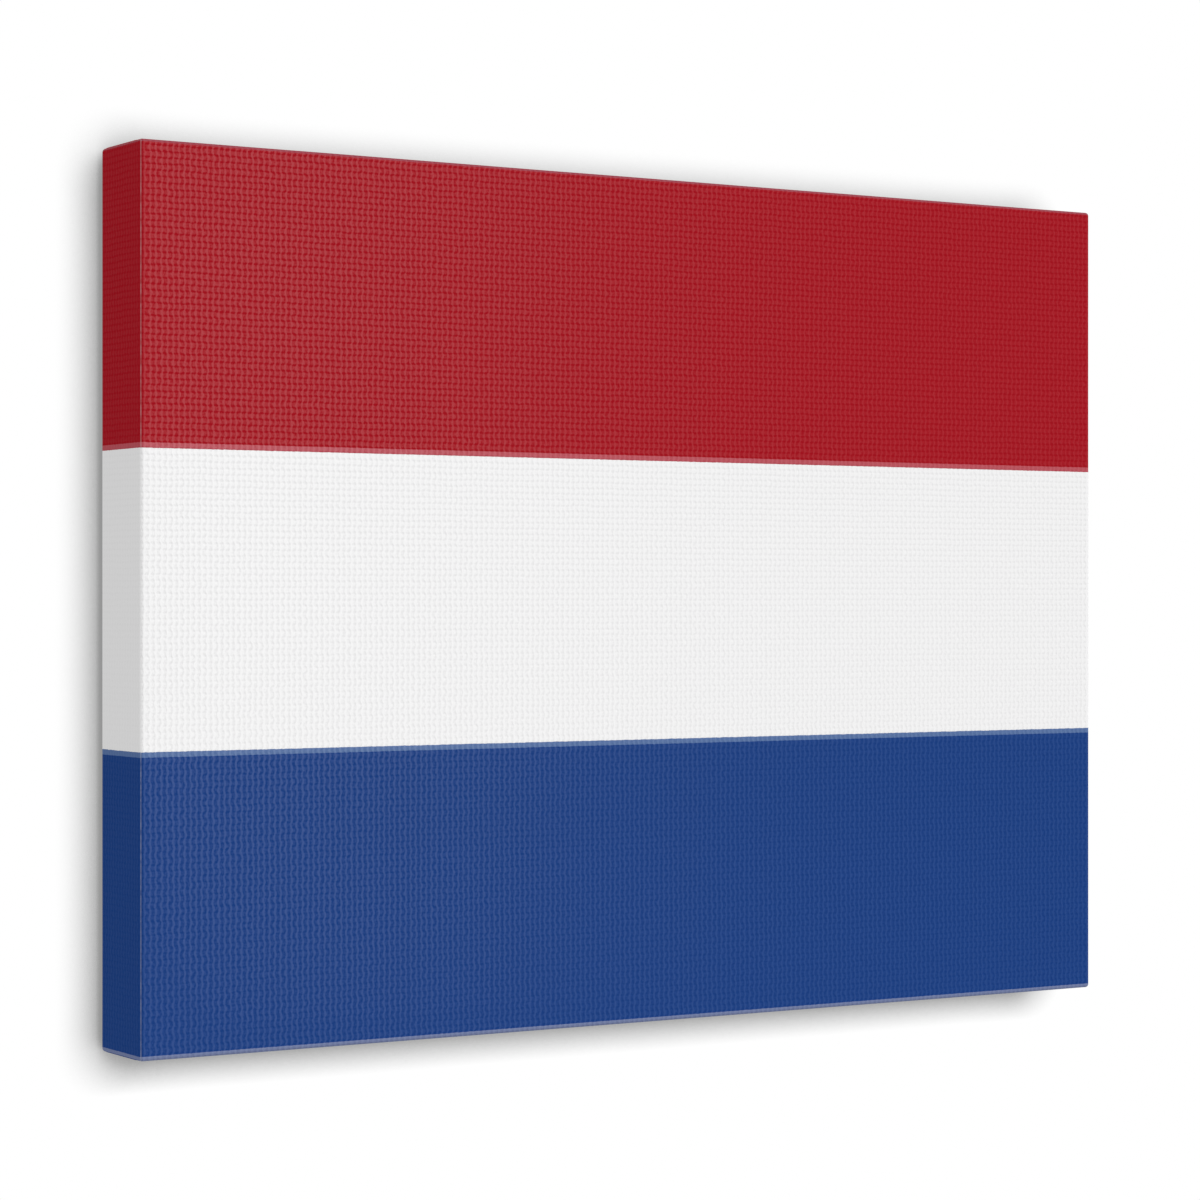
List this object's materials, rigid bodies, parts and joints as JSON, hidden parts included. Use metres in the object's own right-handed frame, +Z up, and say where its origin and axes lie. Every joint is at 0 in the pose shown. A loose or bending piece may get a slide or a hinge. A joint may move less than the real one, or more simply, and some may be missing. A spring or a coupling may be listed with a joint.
{
  "type": "stretched canvas",
  "caption": "Rectangular gallery-wrapped canvas print over keyed wooden stretcher bars, with a hanging wire on D-rings behind.",
  "frame": {"origin": "middle of the bottom side, the face that stands on a shelf or an easel ledge", "axes": "+Z up, -Y out of the printed face, +X to the right of someone looking at the print"},
  "size_m": [0.4064, 0.0362, 0.3048],
  "materials": {
    "printed_canvas": "matt poly-cotton canvas, plain weave, printed in three equal bands of red, white and blue that run on round the sides",
    "bar_wood": "planed softwood, unvarnished",
    "key_wood": "sawn hardwood, unvarnished",
    "staple_steel": "galvanised wire",
    "hanger_steel": "bright nickel plate",
    "screw_brass": "zinc-yellow plate",
    "wire_steel": "braided galvanised wire",
    "bumper_rubber": "soft matt rubber"
  },
  "bodies": {
    "frame": {"canvas": "printed_canvas", "stretcher_bar_top": "bar_wood", "stretcher_bar_right": "bar_wood", "stretcher_bar_bottom": "bar_wood", "stretcher_bar_left": "bar_wood", "staples_top": "staple_steel", "staples_right": "staple_steel", "staples_bottom": "staple_steel", "staples_left": "staple_steel", "hanger_strap_left": "hanger_steel", "hanger_screw_left": "screw_brass", "wall_bumper_left": "bumper_rubber", "hanger_strap_right": "hanger_steel", "hanger_screw_right": "screw_brass", "wall_bumper_right": "bumper_rubber"},
    "hanging_wire": {"hanger_ring_left": "hanger_steel", "hanger_ring_right": "hanger_steel", "picture_wire": "wire_steel"},
    "key_top_right_in_right_bar": {"key_top_right_in_right_bar": "key_wood"},
    "key_top_right_in_top_bar": {"key_top_right_in_top_bar": "key_wood"},
    "key_bottom_right_in_bottom_bar": {"key_bottom_right_in_bottom_bar": "key_wood"},
    "key_bottom_right_in_right_bar": {"key_bottom_right_in_right_bar": "key_wood"},
    "key_bottom_left_in_left_bar": {"key_bottom_left_in_left_bar": "key_wood"},
    "key_bottom_left_in_bottom_bar": {"key_bottom_left_in_bottom_bar": "key_wood"},
    "key_top_left_in_top_bar": {"key_top_left_in_top_bar": "key_wood"},
    "key_top_left_in_left_bar": {"key_top_left_in_left_bar": "key_wood"}
  },
  "joints": [
    {"name": "hanging_wire_swing", "type": "hinge", "parent": "frame", "child": "hanging_wire", "pos_m": [0, 0.01723, 0.215], "axis": [-1, 0, 0], "range_deg": [0, 170]},
    {"name": "key_top_right_in_right_bar_slide", "type": "slide", "parent": "frame", "child": "key_top_right_in_right_bar", "axis": [-1, 0, 0], "range_m": [0, 0.032]},
    {"name": "key_top_right_in_top_bar_slide", "type": "slide", "parent": "frame", "child": "key_top_right_in_top_bar", "axis": [0, 0, -1], "range_m": [0, 0.032]},
    {"name": "key_bottom_right_in_bottom_bar_slide", "type": "slide", "parent": "frame", "child": "key_bottom_right_in_bottom_bar", "axis": [0, 0, 1], "range_m": [0, 0.032]},
    {"name": "key_bottom_right_in_right_bar_slide", "type": "slide", "parent": "frame", "child": "key_bottom_right_in_right_bar", "axis": [-1, 0, 0], "range_m": [0, 0.032]},
    {"name": "key_bottom_left_in_left_bar_slide", "type": "slide", "parent": "frame", "child": "key_bottom_left_in_left_bar", "axis": [1, 0, 0], "range_m": [0, 0.032]},
    {"name": "key_bottom_left_in_bottom_bar_slide", "type": "slide", "parent": "frame", "child": "key_bottom_left_in_bottom_bar", "axis": [0, 0, 1], "range_m": [0, 0.032]},
    {"name": "key_top_left_in_top_bar_slide", "type": "slide", "parent": "frame", "child": "key_top_left_in_top_bar", "axis": [0, 0, -1], "range_m": [0, 0.032]},
    {"name": "key_top_left_in_left_bar_slide", "type": "slide", "parent": "frame", "child": "key_top_left_in_left_bar", "axis": [1, 0, 0], "range_m": [0, 0.032]}
  ]
}
